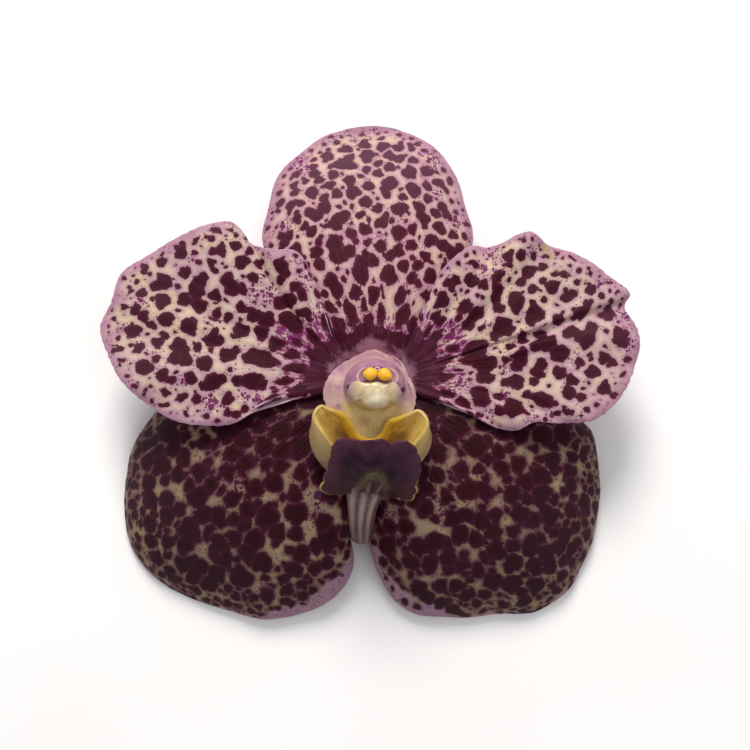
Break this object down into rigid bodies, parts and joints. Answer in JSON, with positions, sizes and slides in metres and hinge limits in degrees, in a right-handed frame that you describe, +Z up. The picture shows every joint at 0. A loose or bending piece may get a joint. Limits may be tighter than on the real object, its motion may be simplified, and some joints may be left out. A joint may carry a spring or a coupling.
{
  "type": "orchid bloom",
  "caption": "Picked vanda orchid bloom lying face up: broad domed sepals, waved petals, a cupped lip with a spur, and a ribbed pedicel beneath.",
  "frame": {"origin": "on the surface the bloom lies on, under the middle of its bounding box", "axes": "+Z up, out of the flower's face; +Y from the lip towards the dorsal sepal; +X towards the right petal seen from above"},
  "size_m": [0.0665, 0.0662, 0.0194],
  "materials": {
    "sepal": "satin",
    "petal": "satin",
    "lip": "satin",
    "column": "satin",
    "cap": "gloss",
    "pollen": "satin",
    "pedicel": "satin"
  },
  "bodies": {
    "root": {"dorsal_sepal": "sepal", "petal_left": "petal", "petal_right": "petal", "lateral_sepal_left": "sepal", "lateral_sepal_right": "sepal", "lip": "lip", "column": "column", "anther_cap": "cap", "pollinarium": "pollen", "pedicel": "pedicel"}
  },
  "joints": []
}
